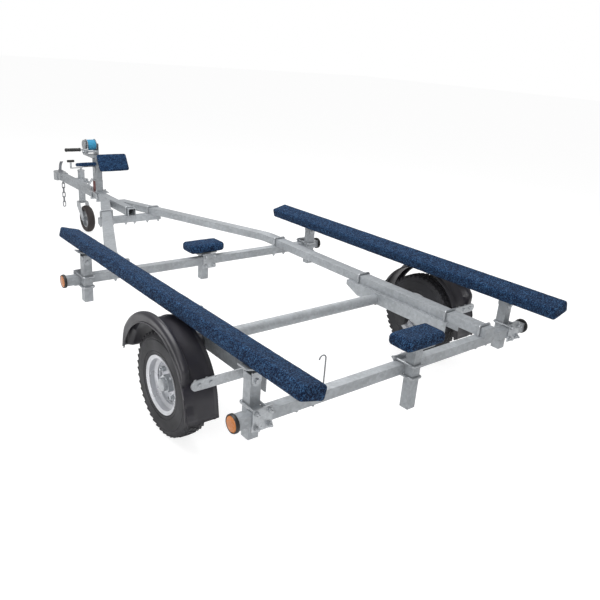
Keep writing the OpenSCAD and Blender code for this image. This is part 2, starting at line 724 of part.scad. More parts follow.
// Split clamp on the drawbar's side with its tightening handle
module jockey_clamp() color("silver") place() translate([0, jockey_y, drawbar_top_z - clamp_h]) {
    difference() {
        union() {
            translate([jockey_x, 0, 0]) cylinder(r = clamp_r, h = clamp_h);
            translate([drawbar_w / 2, -26, 0]) cube([jockey_x - drawbar_w / 2, 52, clamp_h]);
        }
        translate([jockey_x, 0, -1]) cylinder(r = jockey_tube_r + run_gap, h = clamp_h + 2);
        translate([jockey_x, -3, -1]) cube([clamp_r + 2, 6, clamp_h + 2]);
    }
    translate([jockey_x + clamp_r - 3, 4, 6]) cube([20, 8, clamp_h - 12]);
    translate([jockey_x + clamp_r - 3, -12, 6]) cube([20, 8, clamp_h - 12]);
    translate([jockey_x + clamp_r + 8, 0, clamp_h / 2]) {
        rod_y(5, -70, 26);
        translate([0, -66, 0]) rotate([0, 35, 0]) cylinder(r = 8, h = 70, center = true);
    }
}

// Outer tube with the swivel bush in its foot
module jockey_tube() color("lightgray") place() translate([jockey_x, jockey_y, 0]) {
    foot_z = fork_crown_z + fork_crown_t + 0.5;
    difference() {
        translate([0, 0, foot_z]) cylinder(r = jockey_tube_r, h = jockey_top_z - foot_z);
        translate([0, 0, foot_z + 20]) cylinder(r = jockey_tube_r - 3, h = jockey_top_z);
        translate([0, 0, foot_z - 1]) cylinder(r = swivel_r + run_gap, h = 22);
    }
}

// Cap, screw, crank arm and T grip on top of the tube
module jockey_crank() color("silver") place() translate([jockey_x, jockey_y, jockey_top_z]) {
    cylinder(r = jockey_tube_r + 2, h = 8);
    cylinder(r = 7, h = 24);
    translate([0, 0, 20]) bar(18, 18, 8);
    translate([-78, -7, 22]) cube([80, 14, 5]);
    translate([-74, 0, 22]) {
        cylinder(r = 7, h = 60);
        translate([0, 0, 54]) rod_x(8, -24, 24);
    }
}

// Swivel spigot, crown, two cheeks reaching back to the wheel and the wheel's axle
module jockey_fork() color("silver") place() {
    cheek_t = 5;
    cheek_x = fork_gap / 2;
    translate([jockey_x, jockey_y, fork_crown_z]) {
        translate([-cheek_x - cheek_t, -30, 0]) cube([2 * (cheek_x + cheek_t), 56, fork_crown_t]);
        cylinder(r = swivel_r, h = fork_crown_t + 0.5 + 20 + 1);
        translate([0, 0, fork_crown_t + 0.5 + 20.5]) cylinder(r = 15, h = 8);
    }
    for (s = [-1, 1]) translate([jockey_x + s * (cheek_x + cheek_t / 2), 0, 0])
        rotate([90, 0, 90]) translate([0, 0, -cheek_t / 2]) linear_extrude(cheek_t) polygon([
            [jockey_y - 30, fork_crown_z + fork_crown_t], [jockey_y + 26, fork_crown_z + fork_crown_t],
            [jockey_y + 26, fork_crown_z - 30], [jockey_wheel_y + 16, jockey_r - 14],
            [jockey_wheel_y - 16, jockey_r - 14], [jockey_wheel_y - 16, jockey_r + 14]
        ]);
    translate([jockey_x, jockey_wheel_y, jockey_r]) {
        rod_x(jockey_axle_r, -cheek_x - 1, cheek_x + 1);
        for (s = [-1, 1]) scale([s, 1, 1]) translate([cheek_x + cheek_t, 0, 0]) rotate([0, 90, 0])
            cylinder(r = 11, h = 7, $fn = 6);
    }
}

module jockey_rim() color("silver") place() translate([jockey_x, jockey_wheel_y, jockey_r])
    difference() {
        union() {
            rod_x(16, -fork_gap / 2 + 0.5, fork_gap / 2 - 0.5);
            rod_x(jockey_r * 0.62, -jockey_w / 2 + 6, jockey_w / 2 - 6);
        }
        rod_x(jockey_axle_r + run_gap, -fork_gap, fork_gap);
        for (s = [0, 1]) rotate([0, 180 * s, 0]) difference() {
            rod_x(jockey_r * 0.56, 6, jockey_w);
            rod_x(16, 0, jockey_w + 1);
        }
    }

module jockey_tyre() color("#241f1e") place()
    translate([jockey_x, jockey_wheel_y, jockey_r]) rotate([0, 90, 0]) rotate_extrude($fn = 96) {
        half = jockey_w / 2;
        seat = jockey_r * 0.62 + seat_gap;
        polygon([
            [seat, -half + 5], [seat + 8, -half], [jockey_r - 12, -half], [jockey_r - 3, -half + 9],
            [jockey_r, -5], [jockey_r, 5], [jockey_r - 3, half - 9], [jockey_r - 12, half],
            [seat + 8, half], [seat, half - 5]
        ]);
    }

// ---------- coupling, chain and small pieces ----------

socket_r = 25.2;
socket_y = coupling_reach - 40;

// Pressed ball coupling: a saddle over the drawbar and a domed head with the ball socket
module coupling_head() color("silver") place() {
    head_z = deck_z - 12;
    head_top = drawbar_top_z + 4;
    saddle = 6;
    difference() {
        union() {
            translate([0, coupling_reach - 150, deck_z])
                translate([-drawbar_w / 2 - saddle, 0, 4])
                    cube([drawbar_w + 2 * saddle, 100, drawbar_w]);
            translate([0, socket_y, head_z]) cylinder(r = 40, h = head_top - head_z);
            translate([-38, coupling_reach - 92, head_z + 4]) cube([76, 52, head_top - head_z - 4]);
        }
        translate([-drawbar_w / 2 - seat_gap, coupling_reach - 160, 0])
            cube([drawbar_w + 2 * seat_gap, 70, drawbar_top_z + seat_gap]);
        translate([0, socket_y, head_z - 1]) cylinder(r = socket_r, h = 37);
    }
}

// Locking lever that stands up from the head and curls forwards
module coupling_lever() color("gray") place() {
    lever_r = 84;
    top = drawbar_top_z + 4;
    translate([0, coupling_reach - 78, top]) {
        bar(22, 34, 16);
        translate([0, -lever_r + 12, 14]) intersection() {
            rotate([0, 90, 0]) difference() {
                cylinder(r = lever_r, h = 18, center = true, $fn = 96);
                cylinder(r = lever_r - 10, h = 20, center = true, $fn = 96);
            }
            translate([-20, 0, -1]) cube([40, lever_r + 2, lever_r * 0.86]);
        }
    }
}

link_wire_r = 3.5;
link_in = 36;
link_w = 26;
chain_links = 5;
chain_y = coupling_reach - 140;

// One oval link standing in the xz plane, middle at the origin
module chain_link() {
    bow_r = (link_w - 2 * link_wire_r) / 2;
    run = link_in / 2 + link_wire_r - bow_r;
    rotate([90, 0, 0]) for (s = [0, 180]) rotate([0, 0, s]) {
        translate([0, run, 0]) rotate_extrude(angle = 180) translate([bow_r, 0]) circle(r = link_wire_r, $fn = 20);
        translate([bow_r, run, 0]) rotate([90, 0, 0]) cylinder(r = link_wire_r, h = 2 * run, $fn = 20);
    }
}

// Chain hanging from an eye under the drawbar
module safety_chain() color("gray") place() translate([-6, chain_y, deck_z]) {
    eye_r = 11;
    plate_t = 4;
    eye_z = -plate_t - eye_r;
    translate([0, 0, -plate_t]) bar(24, 24, plate_t);
    translate([0, 0, eye_z]) rotate([90, 0, 90])
        rotate_extrude() translate([eye_r, 0]) circle(r = link_wire_r, $fn = 20);
    first = eye_z - eye_r + link_wire_r + seat_gap - link_in / 2;
    for (i = [0 : chain_links - 1]) translate([0, 0, first - i * (link_in - seat_gap)])
        rotate([0, 0, 90 * i]) chain_link();
}

// Amber reflector in a black ring on each end of both long cross members
module side_reflectors() color("darkorange") place()
    for (s = [-1, 1], y = [rear_cross_y, front_cross_y]) scale([s, 1, 1])
        translate([0, y, frame_z + box / 2]) {
            rod_x(32, cross_len / 2, cross_len / 2 + 7);
            rod_x(27, cross_len / 2 + 6, cross_len / 2 + 15);
        }

// Wire hook on the rear cross member, just inside the left side member
module tie_hook() color("gray") place()
    translate([-side_x + side_w / 2 + 44, rear_cross_y, deck_z]) {
        hook_r = 14;
        rise = 112;
        cylinder(r = 9, h = 4);
        cylinder(r = 2.5, h = rise);
        translate([-hook_r, 0, rise]) rotate([90, 0, 0])
            rotate_extrude(angle = 180) translate([hook_r, 0]) circle(r = 2.5, $fn = 20);
    }

// ---------- nodes ----------

drawbar();
side_member("left");  // side_member_left
side_member("right");  // side_member_right
rear_cross_member();
front_cross_member();
nose_cross_member();
frame_u_bolts(rear_cross_y);  // rear_frame_u_bolts
frame_u_bolts(front_cross_y);  // front_frame_u_bolts
nose_u_bolts();
axle_rail_u_bolts();
axle_beam();
axle_rail("left");  // axle_rail_left
axle_rail("right");  // axle_rail_right
suspension_arm("left");  // suspension_arm_left
suspension_arm("right");  // suspension_arm_right
wheel_hub("left");  // wheel_hub_left
wheel_hub("right");  // wheel_hub_right
wheel_rim("left");  // wheel_rim_left
wheel_rim("right");  // wheel_rim_right
tyre("left");  // tyre_left
tyre("right");  // tyre_right
mudguard("left");  // mudguard_left
mudguard("right");  // mudguard_right
mudguard_stays("left");  // mudguard_stays_left
mudguard_stays("right");  // mudguard_stays_right
bunk("left");  // bunk_left
bunk("right");  // bunk_right
bunk_posts("left");  // bunk_posts_left
bunk_posts("right");  // bunk_posts_right
bunk_brackets("left");  // bunk_brackets_left
bunk_brackets("right");  // bunk_brackets_right
rear_post_clamps();
front_post_clamps();
keel_posts();
front_keel_pad();
rear_keel_pad();
winch_post();
winch_post_clamp();
winch_frame();
winch_drum();
winch_strap();
winch_crank();
snub_bracket();
snub_pad_left();
snub_pad_right();
jockey_clamp();
jockey_tube();
jockey_crank();
jockey_fork();
jockey_rim();
jockey_tyre();
coupling_head();
coupling_lever();
safety_chain();
side_reflectors();
tie_hook();
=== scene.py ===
"""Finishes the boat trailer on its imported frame: carpet, tread, mudguards, bolts, winch and materials."""
import json
from math import cos, pi, radians, sin

import bmesh
import bpy
from bpy.props import FloatProperty, FloatVectorProperty, IntProperty, PointerProperty
from mathutils import Matrix, Vector, noise


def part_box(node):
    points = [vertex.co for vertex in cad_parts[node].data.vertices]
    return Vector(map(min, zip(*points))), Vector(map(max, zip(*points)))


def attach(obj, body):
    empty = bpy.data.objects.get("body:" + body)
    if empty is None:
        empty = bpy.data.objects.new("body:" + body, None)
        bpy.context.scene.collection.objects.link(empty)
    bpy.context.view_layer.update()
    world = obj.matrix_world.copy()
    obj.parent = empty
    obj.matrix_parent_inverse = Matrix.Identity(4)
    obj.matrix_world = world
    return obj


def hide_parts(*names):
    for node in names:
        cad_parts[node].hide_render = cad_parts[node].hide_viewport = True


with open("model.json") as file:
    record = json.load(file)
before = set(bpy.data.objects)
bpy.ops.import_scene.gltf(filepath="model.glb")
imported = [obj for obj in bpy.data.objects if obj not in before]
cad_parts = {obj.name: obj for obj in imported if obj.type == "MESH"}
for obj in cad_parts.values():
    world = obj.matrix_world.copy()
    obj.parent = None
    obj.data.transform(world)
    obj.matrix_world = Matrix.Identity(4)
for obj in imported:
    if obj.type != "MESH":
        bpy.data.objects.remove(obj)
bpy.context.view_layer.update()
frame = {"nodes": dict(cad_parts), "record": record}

bl_info = {
    "name": "Boat Trailer Finish",
    "version": (1, 0, 0),
    "blender": (4, 5, 0),
    "location": "3D View > Sidebar > Trailer",
    "description": "Builds the visible detail of a bunk boat trailer on its packed frame",
    "category": "Object",
}

SIDES = (("right", 1.0), ("left", -1.0))
ACROSS, ALONG, UP = Vector((1, 0, 0)), Vector((0, 1, 0)), Vector((0, 0, 1))


# ---------- sizes and colours a user may change ----------

def length(name, description, default, low=0.0, high=10.0):
    """A size in metres."""
    return FloatProperty(name=name, description=description, default=default, min=low, max=high,
                         unit="LENGTH", precision=4)


def colour(name, description, default):
    """A colour written as it should render."""
    return FloatVectorProperty(name=name, description=description, default=default, min=0.0, max=1.0,
                               size=3, subtype="COLOR")


class TrailerColours(bpy.types.PropertyGroup):
    """Colours of the trailer's finishes."""
    galvanised: colour("Galvanised steel", "Frame members and posts", (0.37, 0.39, 0.41))
    zinc: colour("Zinc plate", "Bolts, plates and brackets", (0.46, 0.48, 0.50))
    dull_zinc: colour("Dull zinc", "Chain, hook and coupling lever", (0.30, 0.31, 0.33))
    rim: colour("Rim paint", "Silver road wheels", (0.60, 0.61, 0.64))
    carpet: colour("Carpet", "Ground colour of the bunk carpet", (0.003, 0.008, 0.028))
    carpet_fleck: colour("Carpet fleck", "Lighter fibres in the carpet", (0.050, 0.130, 0.270))
    plastic: colour("Mudguard plastic", "Black moulded mudguards", (0.014, 0.013, 0.018))
    rubber: colour("Tyre rubber", "Road tyres", (0.017, 0.017, 0.020))
    strap: colour("Winch strap", "Blue webbing", (0.05, 0.33, 0.56))
    amber: colour("Amber", "Reflector lenses", (0.52, 0.15, 0.005))


class TrailerSizes(bpy.types.PropertyGroup):
    """Sizes of the finishing detail."""
    bunk_width: length("Bunk width", "Across each bunk", 0.100)
    bunk_depth: length("Bunk thickness", "Top to bottom of each bunk", 0.053)
    bunk_length: length("Bunk length", "Along each bunk", 1.893)
    bunk_round: length("Bunk rounding", "Radius of the carpeted edges", 0.011)
    bunk_tilt: FloatProperty(name="Bunk tilt", description="Outer edge up", default=radians(14.7),
                             subtype="ANGLE")
    bunk_fall: FloatProperty(name="Bunk fall", description="Fall towards the front",
                             default=radians(0.52), subtype="ANGLE")
    pad_crown: length("Pad crown", "Rise of each pad's faces between its edges", 0.003)
    tread_blocks: IntProperty(name="Tread blocks", description="Blocks round each tyre", default=44,
                              min=12, max=90)
    tread_depth: length("Tread depth", "Height of the tread blocks", 0.005)
    guard_ridge: length("Mudguard ridge", "Height of the outer ridge", 0.032)
    gear_teeth: IntProperty(name="Gear teeth", description="Teeth of the winch gear", default=38,
                            min=12, max=80)


def sizes():
    return bpy.context.scene.trailer_sizes


def colours():
    return bpy.context.scene.trailer_colours


# ---------- shader groups ----------

def new_group(name, inputs, outputs):
    """An empty shader group with the given (name, kind, default) inputs and (name, kind) outputs."""
    group = bpy.data.node_groups.new(name, "ShaderNodeTree")
    for label, kind, value in inputs:
        socket = group.interface.new_socket(label, in_out="INPUT", socket_type=kind)
        if value is not None:
            socket.default_value = value
    for label, kind in outputs:
        group.interface.new_socket(label, in_out="OUTPUT", socket_type=kind)
    return group, group.nodes.new("NodeGroupInput"), group.nodes.new("NodeGroupOutput")


def noise_node(tree, vector, scale, detail=4.0, rough=0.55):
    node = tree.nodes.new("ShaderNodeTexNoise")
    node.inputs["Detail"].default_value = detail
    node.inputs["Roughness"].default_value = rough
    tree.links.new(vector, node.inputs["Vector"])
    if isinstance(scale, (int, float)):
        node.inputs["Scale"].default_value = scale
    else:
        tree.links.new(scale, node.inputs["Scale"])
    return node.outputs["Fac"]


def ramp_node(tree, value, low, high):
    """Value stretched so that low becomes 0 and high becomes 1."""
    node = tree.nodes.new("ShaderNodeMapRange")
    node.inputs["From Min"].default_value = low
    node.inputs["From Max"].default_value = high
    tree.links.new(value, node.inputs["Value"])
    return node.outputs["Result"]


def math_node(tree, kind, first, second):
    node = tree.nodes.new("ShaderNodeMath")
    node.operation = kind
    for socket, value in zip(node.inputs, (first, second)):
        if isinstance(value, (int, float)):
            socket.default_value = value
        else:
            tree.links.new(value, socket)
    return node.outputs[0]


VECTOR, FLOAT = "NodeSocketVector", "NodeSocketFloat"


def grain_group():
    """Mottled mask with a fine height, for plastic, rubber and paint."""
    group, start, end = new_group("Surface Grain", [("Vector", VECTOR, None), ("Scale", FLOAT, 60.0)],
                                  [("Mask", FLOAT), ("Height", FLOAT)])
    broad = noise_node(group, start.outputs["Vector"], 9.0, 5.0)
    fine = noise_node(group, start.outputs["Vector"], start.outputs["Scale"], 3.0)
    group.links.new(ramp_node(group, broad, 0.35, 0.68), end.inputs["Mask"])
    group.links.new(fine, end.inputs["Height"])
    return group


def spangle_group():
    """Zinc crystals: flat cells of different tone, with broad blooms over them."""
    group, start, end = new_group("Zinc Spangle", [("Vector", VECTOR, None), ("Scale", FLOAT, 90.0)],
                                  [("Mask", FLOAT), ("Height", FLOAT)])
    cells = group.nodes.new("ShaderNodeTexVoronoi")
    group.links.new(start.outputs["Vector"], cells.inputs["Vector"])
    group.links.new(start.outputs["Scale"], cells.inputs["Scale"])
    tone = group.nodes.new("ShaderNodeSeparateColor")
    group.links.new(cells.outputs["Color"], tone.inputs["Color"])
    bloom = noise_node(group, start.outputs["Vector"], 7.0, 6.0, 0.65)
    cell_part = math_node(group, "MULTIPLY", tone.outputs[0], 0.45)
    bloom_part = math_node(group, "MULTIPLY", ramp_node(group, bloom, 0.3, 0.7), 0.55)
    group.links.new(math_node(group, "ADD", cell_part, bloom_part), end.inputs["Mask"])
    fine = noise_node(group, start.outputs["Vector"], 55.0, 5.0)
    group.links.new(fine, end.inputs["Height"])
    return group


def felt_group():
    """Needle-felt carpet: clumped light flecks over a dark ground and a fibrous height."""
    group, start, end = new_group("Carpet Felt", [("Vector", VECTOR, None), ("Scale", FLOAT, 260.0)],
                                  [("Mask", FLOAT), ("Height", FLOAT)])
    fleck = noise_node(group, start.outputs["Vector"], start.outputs["Scale"], 2.0, 0.7)
    clump = noise_node(group, start.outputs["Vector"], 45.0, 3.0, 0.6)
    sharp = ramp_node(group, fleck, 0.44, 0.64)
    mixed = math_node(group, "MULTIPLY", sharp, ramp_node(group, clump, 0.10, 0.62))
    group.links.new(mixed, end.inputs["Mask"])
    fibre = noise_node(group, start.outputs["Vector"], 420.0, 4.0, 0.8)
    group.links.new(math_node(group, "ADD", fibre, clump), end.inputs["Height"])
    return group


def weave_group():
    """Webbing: crossed ribs along and across the strap."""
    group, start, end = new_group("Strap Weave", [("Vector", VECTOR, None), ("Scale", FLOAT, 700.0)],
                                  [("Mask", FLOAT), ("Height", FLOAT)])
    ribs = []
    for direction in ("X", "Z"):
        wave = group.nodes.new("ShaderNodeTexWave")
        wave.bands_direction = direction
        wave.inputs["Distortion"].default_value = 0.4
        group.links.new(start.outputs["Vector"], wave.inputs["Vector"])
        group.links.new(start.outputs["Scale"], wave.inputs["Scale"])
        ribs.append(wave.outputs["Fac"])
    both = math_node(group, "MULTIPLY", ribs[0], ribs[1])
    group.links.new(both, end.inputs["Mask"])
    group.links.new(both, end.inputs["Height"])
    return group


ROUGH_SPREAD = 0.08


def finish_material(name, group, scale, light, dark, rough, metal=0.0, bump=0.15, depth=0.001,
                    coat=0.0, sheen=0.0, edge=0.0, specular=0.5):
    """Principled material: colour and roughness follow a group's mask, and bump follows its height."""
    material = bpy.data.materials.new(name)
    material.use_nodes = True
    tree = material.node_tree
    shader = tree.nodes["Principled BSDF"]
    place = tree.nodes.new("ShaderNodeTexCoord")
    pattern = tree.nodes.new("ShaderNodeGroup")
    pattern.node_tree = group
    pattern.inputs["Scale"].default_value = scale
    tree.links.new(place.outputs["Object"], pattern.inputs["Vector"])
    mix = tree.nodes.new("ShaderNodeMix")
    mix.data_type = "RGBA"
    # A Mix node has sockets of every data type, so the colour ones are picked out by type
    colour_in = [socket for socket in mix.inputs if socket.type == "RGBA"]
    colour_out = [socket for socket in mix.outputs if socket.type == "RGBA"]
    for socket, value in zip(colour_in, (dark, light)):
        socket.default_value = (*value, 1)
    tree.links.new(pattern.outputs["Mask"], mix.inputs[0])
    tree.links.new(colour_out[0], shader.inputs["Base Color"])
    gloss = tree.nodes.new("ShaderNodeMapRange")
    gloss.inputs["To Min"].default_value = min(1.0, rough + ROUGH_SPREAD)
    gloss.inputs["To Max"].default_value = max(0.0, rough - ROUGH_SPREAD)
    tree.links.new(pattern.outputs["Mask"], gloss.inputs["Value"])
    tree.links.new(gloss.outputs["Result"], shader.inputs["Roughness"])
    relief = tree.nodes.new("ShaderNodeBump")
    relief.inputs["Strength"].default_value = bump
    relief.inputs["Distance"].default_value = depth
    tree.links.new(pattern.outputs["Height"], relief.inputs["Height"])
    if edge:
        soften = tree.nodes.new("ShaderNodeBevel")
        soften.samples = 4
        soften.inputs["Radius"].default_value = edge
        tree.links.new(soften.outputs["Normal"], relief.inputs["Normal"])
    tree.links.new(relief.outputs["Normal"], shader.inputs["Normal"])
    shader.inputs["Metallic"].default_value = metal
    shader.inputs["Coat Weight"].default_value = coat
    shader.inputs["Sheen Weight"].default_value = sheen
    shader.inputs["Specular IOR Level"].default_value = specular
    return material


def tint(base, factor):
    return tuple(min(1.0, c * factor) for c in base)


def mat(name):
    return bpy.data.materials[name]


class TRAILER_OT_materials(bpy.types.Operator):
    """Makes every finish of the trailer and gives it to the CAD pieces that stay in view"""
    bl_idname = "trailer.materials"
    bl_label = "Materials"

    def execute(self, context):
        c = colours()
        grain, spangle, felt, weave = grain_group(), spangle_group(), felt_group(), weave_group()
        steel = dict(metal=0.40, bump=0.25, depth=0.0008, edge=0.0025)
        finish_material("Galvanised", spangle, 85, tint(c.galvanised, 1.25), tint(c.galvanised, 0.82),
                        0.50, **steel)
        finish_material("Zinc", spangle, 160, tint(c.zinc, 1.2), tint(c.zinc, 0.8), 0.32, metal=0.7,
                        bump=0.15, depth=0.0005, edge=0.0012)
        finish_material("Dull Zinc", grain, 120, tint(c.dull_zinc, 1.3), tint(c.dull_zinc, 0.75), 0.45,
                        metal=0.7, bump=0.2, depth=0.0005, edge=0.001)
        finish_material("Dark Steel", grain, 150, (0.05, 0.05, 0.055), (0.02, 0.02, 0.022), 0.5, metal=0.3,
                        bump=0.2, edge=0.002)
        finish_material("Silver Paint", grain, 300, tint(c.rim, 1.15), tint(c.rim, 0.85), 0.3, metal=0.55,
                        bump=0.05, depth=0.0003, coat=0.3, edge=0.0012)
        finish_material("Tyre Rubber", grain, 500, tint(c.rubber, 1.7), c.rubber, 0.62, bump=0.35,
                        depth=0.0004)
        finish_material("Brown Rubber", grain, 400, (0.040, 0.030, 0.028), (0.020, 0.015, 0.015), 0.6,
                        bump=0.3, depth=0.0004)
        finish_material("Mudguard Plastic", grain, 700, tint(c.plastic, 1.6), c.plastic, 0.36, bump=0.12,
                        depth=0.0003, specular=0.6)
        finish_material("Black Grip", grain, 600, (0.02, 0.02, 0.02), (0.010, 0.010, 0.010), 0.45, bump=0.2,
                        depth=0.0004)
        finish_material("Carpet", felt, 210, c.carpet_fleck, c.carpet, 0.92, bump=0.9, depth=0.003,
                        sheen=0.04, specular=0.10)
        finish_material("Strap Webbing", weave, 90, tint(c.strap, 1.3), tint(c.strap, 0.7), 0.75, bump=0.6,
                        depth=0.001, sheen=0.2, specular=0.2)
        finish_material("Amber Lens", grain, 900, tint(c.amber, 1.15), tint(c.amber, 0.8), 0.25, bump=0.5,
                        depth=0.0008, coat=0.15)
        finish_material("Maroon Strip", grain, 200, (0.16, 0.035, 0.03), (0.08, 0.02, 0.02), 0.5, bump=0.1)
        looks = {"galvanised": "Galvanised", "zinc": "Zinc", "dull_zinc": "Dull Zinc",
                 "dark_steel": "Dark Steel", "rim": "Silver Paint", "tyre": "Tyre Rubber",
                 "jockey_tyre": "Brown Rubber", "mudguard": "Mudguard Plastic", "carpet": "Carpet",
                 "strap": "Strap Webbing", "black_grip": "Black Grip", "amber": "Amber Lens"}
        for part in frame["record"]["subparts"]:
            for holder in frame["nodes"][part["node"]].material_slots:
                holder.material = mat(looks[part["material_slot"]])
        return {"FINISHED"}


# ---------- building blocks ----------

def piece(name, bm, look, body="frame", hides=(), angle=35, turn_out=True):
    """Makes a mesh piece from a bmesh, smooth up to an angle, riding on its body."""
    if turn_out:
        bmesh.ops.recalc_face_normals(bm, faces=bm.faces)
    mesh = bpy.data.meshes.new(name)
    bm.to_mesh(mesh)
    bm.free()
    mesh.materials.append(mat(look))
    mesh.shade_smooth()
    mesh.set_sharp_from_angle(angle=radians(angle))
    made = bpy.data.objects.new(name, mesh)
    bpy.context.scene.collection.objects.link(made)
    if hides:
        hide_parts(*hides)
    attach(made, body)
    return made


def centre_of(node):
    low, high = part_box(node)
    return (Vector(low) + Vector(high)) / 2


def take_in(bm, part, matrix):
    """Moves a finished part to its place and takes it into a larger bmesh."""
    bmesh.ops.transform(part, matrix=matrix, verts=part.verts)
    carrier = bpy.data.meshes.new("carrier")
    part.to_mesh(carrier)
    part.free()
    bm.from_mesh(carrier)
    bpy.data.meshes.remove(carrier)


def at(place):
    """Matrix that moves a piece to a place, unturned."""
    return Matrix.Translation(place)


def facing(place, direction):
    """Matrix that stands a piece made along z on a place, pointing along a direction."""
    return at(place) @ Vector(direction).to_track_quat("Z", "Y").to_matrix().to_4x4()


def block(bm, matrix, size, radius=0.002, segments=2):
    """Box with rounded edges."""
    part = bmesh.new()
    bmesh.ops.create_cube(part, size=1.0)
    bmesh.ops.scale(part, verts=part.verts, vec=Vector(size))
    bmesh.ops.bevel(part, geom=list(part.edges), offset=radius, affect="EDGES", segments=segments,
                    profile=0.5, material=-1)
    take_in(bm, part, matrix)


def lathe(bm, matrix, profile, steps=48, closed=False):
    """Turned shape: (radius, height) points spun about the z axis of a matrix."""
    part = bmesh.new()
    points = [part.verts.new((r, 0, z)) for r, z in profile]
    pairs = list(zip(points, points[1:])) + ([(points[-1], points[0])] if closed else [])
    edges = [part.edges.new(pair) for pair in pairs]
    bmesh.ops.spin(part, geom=points + edges, cent=(0, 0, 0), axis=(0, 0, 1), angle=2 * pi, steps=steps,
                   use_merge=True)
    bmesh.ops.remove_doubles(part, verts=part.verts, dist=1e-6)
    bmesh.ops.recalc_face_normals(part, faces=part.faces)
    take_in(bm, part, matrix)


def rod(bm, start, end, radius, steps=16, round_end=0.0008):
    """Round bar with eased ends."""
    run = (Vector(end) - Vector(start)).length
    lathe(bm, facing(start, Vector(end) - Vector(start)),
          [(0, 0), (radius - round_end, 0), (radius, round_end), (radius, run - round_end),
           (radius - round_end, run), (0, run)], steps)


def hex_nut(bm, seat, direction, radius=0.0092, height=0.008):
    """Chamfered nut on a washer, standing on its seat."""
    turn = facing(seat, direction)
    washer = 0.002
    lathe(bm, turn, [(0, 0), (radius * 1.35, 0), (radius * 1.4, 0.0005), (radius * 1.4, 0.0016),
                     (0, washer)], 24)
    lathe(bm, turn @ at((0, 0, washer)),
          [(0, 0), (radius * 0.93, 0), (radius, height * 0.18), (radius, height * 0.82),
           (radius * 0.9, height), (0, height)], 6)


def screw_tail(bm, start, direction, run, radius=0.005, pitch=0.0015):
    """Threaded end of a bolt."""
    turns = int(run / pitch)
    profile = [(0, 0)]
    for i in range(turns):
        profile += [(radius * 0.86, i * pitch), (radius, (i + 0.5) * pitch)]
    profile += [(radius * 0.8, run), (0, run)]
    lathe(bm, facing(start, direction), profile, 14)


def straight(bm, edges, offset):
    """Extrudes a ring of edges along a straight line and returns its far ring."""
    made = bmesh.ops.extrude_edge_only(bm, edges=edges)["geom"]
    points = {g for g in made if isinstance(g, bmesh.types.BMVert)}
    bmesh.ops.translate(bm, verts=list(points), vec=offset)
    return [g for g in made if isinstance(g, bmesh.types.BMEdge) and all(v in points for v in g.verts)]


def bend(bm, edges, centre, axis, angle, steps=7):
    """Spins a ring of edges round a bend and returns its far ring."""
    points = list({v for e in edges for v in e.verts})
    last = bmesh.ops.spin(bm, geom=points + list(edges), cent=centre, axis=axis, angle=angle, steps=steps)
    return [g for g in last["geom_last"] if isinstance(g, bmesh.types.BMEdge)]


def ring(bm, place, direction, radius, steps=14):
    """Capped circle that starts a bent bar."""
    made = bmesh.ops.create_circle(bm, cap_ends=True, radius=radius, segments=steps,
                                   matrix=facing(place, direction))["verts"]
    return list({e for v in made for e in v.link_edges})


WIRE = 0.005
BOLT_TAIL = 0.018


def u_bolt(bm, crown, across, out, leg_gap, reach, seat):
    """Round U-bolt.

    The crown is the middle of its bow, and its legs run from there against out. The reach is from the
    crown to the legs' ends, and the seat from the crown to where the nuts stand.
    """
    corner = WIRE * 1.6
    half = leg_gap / 2
    thread, overlap = 0.016, 0.002
    plain = reach - thread + overlap
    edges = ring(bm, crown - across * half - out * plain, out, WIRE)
    edges = straight(bm, edges, out * (plain - corner))
    turn = out.cross(across)
    edges = bend(bm, edges, crown - across * (half - corner) - out * corner, turn, pi / 2)
    edges = straight(bm, edges, across * (leg_gap - 2 * corner))
    edges = bend(bm, edges, crown + across * (half - corner) - out * corner, turn, pi / 2)
    edges = straight(bm, edges, -out * (plain - corner))
    bmesh.ops.edgeloop_fill(bm, edges=edges)
    for side in (-1, 1):
        leg = crown + across * half * side
        hex_nut(bm, leg - out * seat, -out)
        screw_tail(bm, leg - out * (reach - thread), -out, thread, WIRE)


def loose_boxes(node):
    """Lowest and highest corners of each separate solid of a CAD node."""
    bm = bmesh.new()
    bm.from_mesh(frame["nodes"][node].data)
    bmesh.ops.remove_doubles(bm, verts=bm.verts, dist=1e-6)
    left, found = set(bm.verts), []
    while left:
        todo, seen = [left.pop()], []
        while todo:
            point = todo.pop()
            seen.append(point.co.copy())
            for edge in point.link_edges:
                other = edge.other_vert(point)
                if other in left:
                    left.discard(other)
                    todo.append(other)
        found.append((Vector(min(p[i] for p in seen) for i in range(3)),
                      Vector(max(p[i] for p in seen) for i in range(3))))
    bm.free()
    return found


# ---------- frame fixings ----------

class TRAILER_OT_frame_bolts(bpy.types.Operator):
    """Round U-bolts with nuts and threads over the side members and the drawbar"""
    bl_idname = "trailer.frame_bolts"
    bl_label = "Frame bolts"

    def execute(self, context):
        nut_width = 0.0184
        for node in ("rear_frame_u_bolts", "front_frame_u_bolts", "nose_u_bolts", "axle_rail_u_bolts"):
            bm = bmesh.new()
            for low, high in loose_boxes(node):
                middle = (low + high) / 2
                gap = high.x - low.x - nut_width
                reach = high.z - low.z - WIRE
                crown = Vector((middle.x, middle.y, high.z - WIRE))
                u_bolt(bm, crown, ACROSS, UP, gap, reach, reach - BOLT_TAIL)
            piece(f"{node}_round", bm, "Zinc", hides=(node,))
        return {"FINISHED"}


